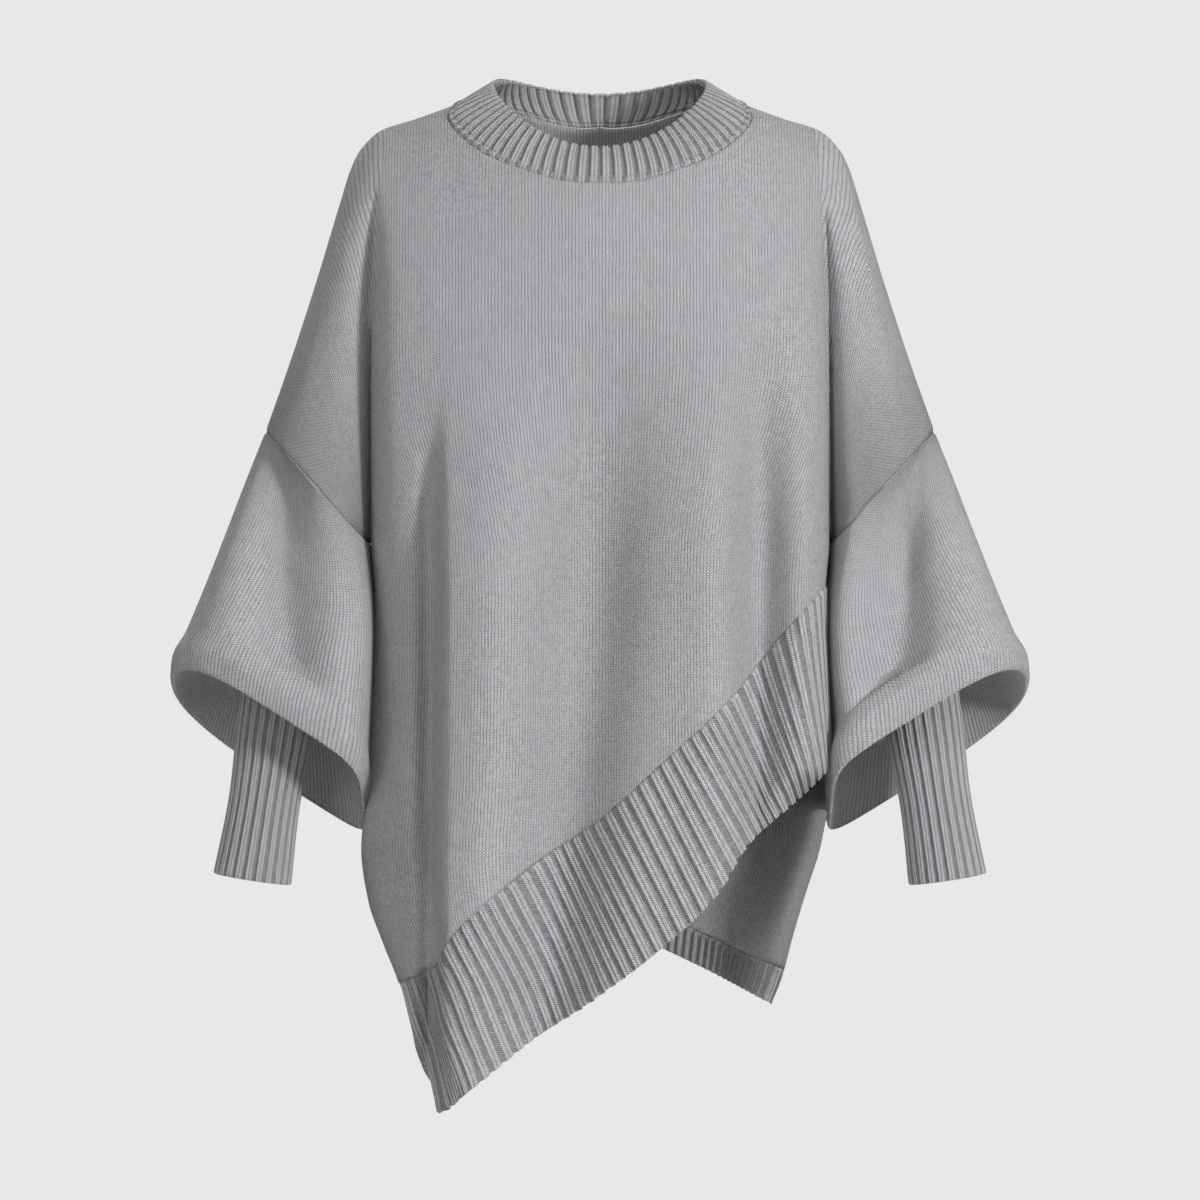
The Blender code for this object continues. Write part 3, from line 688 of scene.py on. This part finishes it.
def merge(grids, flip):
    """One point list, quads and corner uvs from a piece's patches."""
    points = np.concatenate([grid["points"].reshape(-1, 3) for grid in grids])
    _, first, index = np.unique(np.round(points, 6) + 0.0, axis=0, return_index=True, return_inverse=True)
    index = index.reshape(-1)
    relief = np.concatenate([grid["relief"].reshape(-1) for grid in grids])[first]
    thin = np.concatenate([grid["thin"].reshape(-1) for grid in grids])[first]
    quads, uvs, start = [], [], 0
    for grid in grids:
        rows, cols = grid["points"].shape[:2]
        number = np.arange(rows * cols).reshape(rows, cols)
        local = np.stack([number[:-1, :-1], number[:-1, 1:], number[1:, 1:], number[1:, :-1]],
                         axis=-1).reshape(-1, 4)
        if flip:
            local = local[:, ::-1]
        uvs.append(grid["uv"].reshape(-1, 2)[local])
        quads.append(index[local + start])
        start += rows * cols
    quads, uvs = np.concatenate(quads), np.concatenate(uvs)
    whole = np.array([len(set(quad)) == 4 for quad in quads.tolist()])
    return {"points": points[first], "relief": relief, "thin": thin,
            "quads": quads[whole], "uvs": uvs[whole]}


def add_normals(pieces):
    """Smooth normals, shared by all the points that meet at one place."""
    points = np.concatenate([piece["points"] for piece in pieces])
    total = np.zeros_like(points)
    start = 0
    for piece in pieces:
        corners = piece["points"][piece["quads"]]
        area = np.cross(corners[:, 2] - corners[:, 0], corners[:, 3] - corners[:, 1])
        for i in range(4):
            np.add.at(total, piece["quads"][:, i] + start, area)
        start += len(piece["points"])
    _, index = np.unique(np.round(points, 6) + 0.0, axis=0, return_inverse=True)
    index = index.reshape(-1)
    shared = np.zeros_like(points)
    np.add.at(shared, index, total)
    normals = shared[index]
    normals /= np.maximum(np.linalg.norm(normals, axis=1), 1e-12)[:, None]
    start = 0
    for piece in pieces:
        piece["normals"] = normals[start:start + len(piece["points"])]
        start += len(piece["points"])


def shell(piece, wall):
    """Closed shell: the outer skin, an inner skin one wall behind it, and the edge between."""
    quads, normals, count = piece["quads"], piece["normals"], len(piece["points"])
    give = piece["thin"][:, None] * wall / 2 * normals
    raised = piece["points"] + piece["relief"][:, None] * normals
    vertices = np.concatenate([raised - give, raised - wall * normals + give])
    edges = np.stack([quads, np.roll(quads, -1, axis=1)], axis=-1).reshape(-1, 2)
    uv_pairs = np.stack([piece["uvs"], np.roll(piece["uvs"], -1, axis=1)], axis=2).reshape(-1, 2, 2)
    keys = np.sort(edges, axis=1)
    _, inverse, times = np.unique(keys, axis=0, return_inverse=True, return_counts=True)
    free = times[inverse.reshape(-1)] == 1
    rim, rim_uv = edges[free], uv_pairs[free]
    walls = np.stack([rim[:, 1], rim[:, 0], rim[:, 0] + count, rim[:, 1] + count], axis=-1)
    wall_uv = np.stack([rim_uv[:, 1], rim_uv[:, 0], rim_uv[:, 0], rim_uv[:, 1]], axis=1)
    faces = np.concatenate([quads, quads[:, ::-1] + count, walls])
    return vertices, faces, np.concatenate([piece["uvs"], piece["uvs"][:, ::-1], wall_uv])


def cloth(name, piece, wall, material):
    """The shell of a piece as a smooth mesh in the scene."""
    vertices, faces, uvs = shell(piece, wall)
    mesh = bpy.data.meshes.new(name)
    mesh.vertices.add(len(vertices))
    mesh.vertices.foreach_set("co", vertices.reshape(-1))
    mesh.loops.add(faces.size)
    mesh.loops.foreach_set("vertex_index", faces.reshape(-1).astype(np.int32))
    mesh.polygons.add(len(faces))
    mesh.polygons.foreach_set("loop_start", np.arange(0, faces.size, 4, dtype=np.int32))
    mesh.update(calc_edges=True)
    mesh.uv_layers.new(name="Knit").uv.foreach_set("vector", uvs.reshape(-1))
    mesh.shade_smooth()
    mesh.materials.append(material)
    obj = bpy.data.objects.new(name, mesh)
    bpy.context.scene.collection.objects.link(obj)
    return obj


def node(tree, kind, inputs=(), **settings):
    """Add a node, set its settings and wire or fill its inputs."""
    new = tree.nodes.new(kind)
    for key, value in settings.items():
        setattr(new, key, value)
    for key, value in dict(inputs).items():
        if isinstance(value, bpy.types.NodeSocket):
            tree.links.new(value, new.inputs[key])
        else:
            new.inputs[key].default_value = value
    return new


def maths(tree, operation, first, second=0.0, third=0.0):
    """One sum in a material, as the socket that holds its result."""
    return node(tree, "ShaderNodeMath", {0: first, 1: second, 2: third}, operation=operation).outputs[0]


def stitch_height(tree, side, course):
    """Height of the V stitches, 1 on their strands; side is 0 mid wale and 1 at its edges."""
    strand = maths(tree, "FRACT", maths(tree, "MULTIPLY_ADD", side, STITCH_SLANT, course))
    along = maths(tree, "SINE", maths(tree, "MULTIPLY", strand, math.pi))
    squared = maths(tree, "MULTIPLY", side, side)
    across = maths(tree, "COSINE", maths(tree, "MULTIPLY", squared, math.pi / 2))
    wide = maths(tree, "MULTIPLY_ADD", across, 0.72, 0.28)
    return maths(tree, "MULTIPLY", wide, maths(tree, "MULTIPLY_ADD", along, 0.85, 0.15))


def fleck_value(tree, wale, side, course, u):
    """A random value for each stitch."""
    row = maths(tree, "FLOOR", maths(tree, "MULTIPLY_ADD", side, STITCH_SLANT, course))
    inputs = {0: maths(tree, "FLOOR", wale), 1: row, 2: maths(tree, "FLOOR", u)}
    cell = node(tree, "ShaderNodeCombineXYZ", inputs)
    white = node(tree, "ShaderNodeTexWhiteNoise", {"Vector": cell.outputs[0]}, noise_dimensions="3D")
    return white.outputs["Value"]


def noise(tree, place, scale, detail, **more):
    """Soft noise fixed to the piece."""
    inputs = {"Vector": place, "Scale": scale, "Detail": detail, **more}
    return node(tree, "ShaderNodeTexNoise", inputs).outputs["Fac"]


def rib_valley_shade_mask(tree, phase):
    """1 in the sunk wales between two ribs and 0 on the ribs: the mask of the shade painted into those
    valleys.
    """
    from_middle = maths(tree, "ABSOLUTE", maths(tree, "SUBTRACT", phase, 0.5))
    inputs = {"Value": from_middle, "From Min": 0.27, "From Max": 0.42}
    return node(tree, "ShaderNodeMapRange", inputs, interpolation_type="SMOOTHSTEP").outputs[0]


def knit_material(name, ribbed, dark, light, bump):
    """Knitted wool: V stitches as bump, mottled fibres and painted shade of stitch gaps and rib valleys in
    the colour, a soft sheen.
    """
    material = bpy.data.materials.new(name)
    material.use_nodes = True
    tree = material.node_tree
    shader = tree.nodes["Principled BSDF"]
    place = node(tree, "ShaderNodeTexCoord").outputs["Object"]
    uv = node(tree, "ShaderNodeUVMap", uv_map="Knit").outputs[0]
    u, v, _ = node(tree, "ShaderNodeSeparateXYZ", {0: uv}).outputs
    drift = noise(tree, place, DRIFT_SCALE, 2.0)
    if ribbed:
        phase = maths(tree, "FRACT", u)
        wale = maths(tree, "MULTIPLY_ADD", phase, 1 / RIB_WALE, -RIB_WALE_FROM / RIB_WALE)
    else:
        wale = maths(tree, "MULTIPLY_ADD", u, 1 / WALE, maths(tree, "MULTIPLY", drift, 0.7))
    course = maths(tree, "MULTIPLY_ADD", v, 1 / COURSE, maths(tree, "MULTIPLY", drift, 0.8))
    centred = maths(tree, "SUBTRACT", maths(tree, "FRACT", wale), 0.5)
    side = maths(tree, "MULTIPLY", maths(tree, "ABSOLUTE", centred), 2.0)
    stitch = stitch_height(tree, side, course)
    fibre = noise(tree, place, FIBRE_SCALE, 3.0, Roughness=0.7)
    fleck = fleck_value(tree, wale, side, course, u)
    cloud = noise(tree, place, CLOUD_SCALE, 2.0)
    mix = maths(tree, "MULTIPLY_ADD", fibre, FIBRE_WEIGHT, maths(tree, "MULTIPLY", fleck, FLECK_WEIGHT))
    mix = maths(tree, "MULTIPLY_ADD", cloud, CLOUD_WEIGHT, mix)
    # painted shade: the stitch height darkens the gaps between strands and lightens the strands
    mix = maths(tree, "MULTIPLY_ADD", stitch, STITCH_SHADE_WEIGHT, mix)
    # painted shade in the sunk valleys between ribs
    if ribbed:
        mix = maths(tree, "MULTIPLY_ADD", rib_valley_shade_mask(tree, phase), VALLEY_SHADE_WEIGHT, mix)
    low, high = COLOUR_RANGE
    ramp = node(tree, "ShaderNodeMapRange", {"Value": mix, "From Min": low, "From Max": high}).outputs[0]
    blend = node(tree, "ShaderNodeMix", {0: ramp, 6: (*dark, 1), 7: (*light, 1)}, data_type="RGBA")
    tree.links.new(blend.outputs[2], shader.inputs["Base Color"])
    height = maths(tree, "MULTIPLY_ADD", fibre, 0.5, stitch)
    raised = node(tree, "ShaderNodeBump", {"Height": height, "Strength": bump, "Distance": BUMP_DISTANCE})
    tree.links.new(raised.outputs[0], shader.inputs["Normal"])
    shader.inputs["Roughness"].default_value = 0.92
    shader.inputs["Specular IOR Level"].default_value = 0.25
    shader.inputs["Sheen Weight"].default_value = 0.12
    shader.inputs["Sheen Roughness"].default_value = 0.5
    return material


def build():
    """Every piece of cloth, riding on the body and standing for its solid."""
    plain = knit_material("plain_knit", False, DARK_FIBRE_AND_SHADE, LIGHT_FIBRE_AND_LIT_STRAND, 0.9)
    ribbed = knit_material("rib_knit", True, RIB_DARK_AND_SHADE, RIB_LIGHT_AND_LIT_STRAND, 0.8)
    # name: patches, quads to flip so that they face out, wall, material, record slot
    pieces = {
        "front_panel": (panel("front"), True, WALL, plain, "plain_knit"),
        "back_panel": (panel("back"), False, WALL, plain, "plain_knit"),
        "front_hem_band": (band("front", FRONT_BAND_FINE, BAND_LEAN), True, WALL, ribbed, "rib_knit"),
        "back_hem_band": (band("back", BACK_BAND_FINE, 0.0), False, WALL, ribbed, "rib_knit"),
        "right_sleeve": (sleeve(-1), False, WALL, plain, "plain_knit"),
        "left_sleeve": (sleeve(1), False, WALL, plain, "plain_knit"),
        "right_cuff": (cuff(-1), False, WALL, ribbed, "rib_knit"),
        "left_cuff": (cuff(1), False, WALL, ribbed, "rib_knit"),
        "collar": (collar(), False, COLLAR_WALL, ribbed, "rib_knit"),
    }
    merged = {name: merge(grids, flip) for name, (grids, flip, *_) in pieces.items()}
    add_normals(list(merged.values()))
    for name, (_, _, wall, material, slot) in pieces.items():
        obj = cloth(name + "_knit", merged[name], wall, material)
        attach(obj, "root")
        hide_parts(name)


def light(name, place, aim, size, power):
    """A round soft lamp."""
    data = bpy.data.lights.new(name, "AREA")
    data.shape = "DISK"
    data.size = size
    data.energy = power
    lamp = bpy.data.objects.new(name, data)
    bpy.context.scene.collection.objects.link(lamp)
    lamp.location = place
    lamp.rotation_euler = (Vector(aim) - Vector(place)).to_track_quat("-Z", "Y").to_euler()


def surroundings(scene):
    """Plain pale backdrop for the camera; light from all round that is stronger from above."""
    world = bpy.data.worlds.new("studio")
    scene.world = world
    world.use_nodes = True
    tree = world.node_tree
    tree.nodes.clear()
    seen = node(tree, "ShaderNodeBackground", {"Color": (0.807, 0.807, 0.807, 1), "Strength": 1.0})
    up = node(tree, "ShaderNodeSeparateXYZ", {0: node(tree, "ShaderNodeTexCoord").outputs["Generated"]})
    glow = node(tree, "ShaderNodeMapRange", {"Value": up.outputs[2], "From Min": -0.5, "From Max": 0.7,
                                             "To Min": 0.04, "To Max": 0.34})
    lit = node(tree, "ShaderNodeBackground", {"Color": (1, 1, 1, 1), "Strength": glow.outputs[0]})
    path = node(tree, "ShaderNodeLightPath")
    mixed = node(tree, "ShaderNodeMixShader", {0: path.outputs["Is Camera Ray"], 1: lit.outputs[0],
                                               2: seen.outputs[0]})
    node(tree, "ShaderNodeOutputWorld", {"Surface": mixed.outputs[0]})


def lay_floor(scene):
    """Plain grey floor below the hanging garment."""
    half = FLOOR_HALF_WIDTH
    mesh = bpy.data.meshes.new("floor")
    corners = [(-half, -half, 0), (half, -half, 0), (half, half, 0), (-half, half, 0)]
    mesh.from_pydata(corners, [], [(0, 1, 2, 3)])
    material = bpy.data.materials.new("floor")
    material.use_nodes = True
    shader = material.node_tree.nodes["Principled BSDF"]
    shader.inputs["Base Color"].default_value = (0.55, 0.55, 0.55, 1)
    shader.inputs["Roughness"].default_value = 0.9
    mesh.materials.append(material)
    floor = bpy.data.objects.new("floor", mesh)
    floor.location = (0, 0, FLOOR_Z)
    scene.collection.objects.link(floor)


def place_camera(scene):
    """Level camera straight in front."""
    data = bpy.data.cameras.new("camera")
    camera = bpy.data.objects.new("camera", data)
    scene.collection.objects.link(camera)
    camera.location = (0, -CAMERA_DISTANCE, CAMERA_Z)
    camera.rotation_euler = (math.pi / 2, 0, 0)
    data.sensor_width = SENSOR_WIDTH
    data.lens = SENSOR_WIDTH * CAMERA_DISTANCE / VIEW_WIDTH
    scene.camera = camera


def studio():
    """Backdrop, lamps, floor and camera."""
    scene = bpy.context.scene
    scene.view_settings.view_transform = "Standard"
    surroundings(scene)
    light("key", (2.7, -3.2, 0.3), (0, 0, -0.45), 0.7, 116)
    light("top", (0.2, -3.0, 1.9), (0, 0, -0.2), 0.8, 24)
    light("front_fill", (-1.3, -4.2, 0.7), (0, 0, -0.4), 1.0, 20)
    light("back_fill", (-0.8, 3.0, 1.6), (0, 0, -0.4), 2.0, 75)
    light("low_fill", (-2.2, -3.6, -1.2), (0, 0, -0.6), 0.8, 14)
    lay_floor(scene)
    place_camera(scene)


build()
studio()
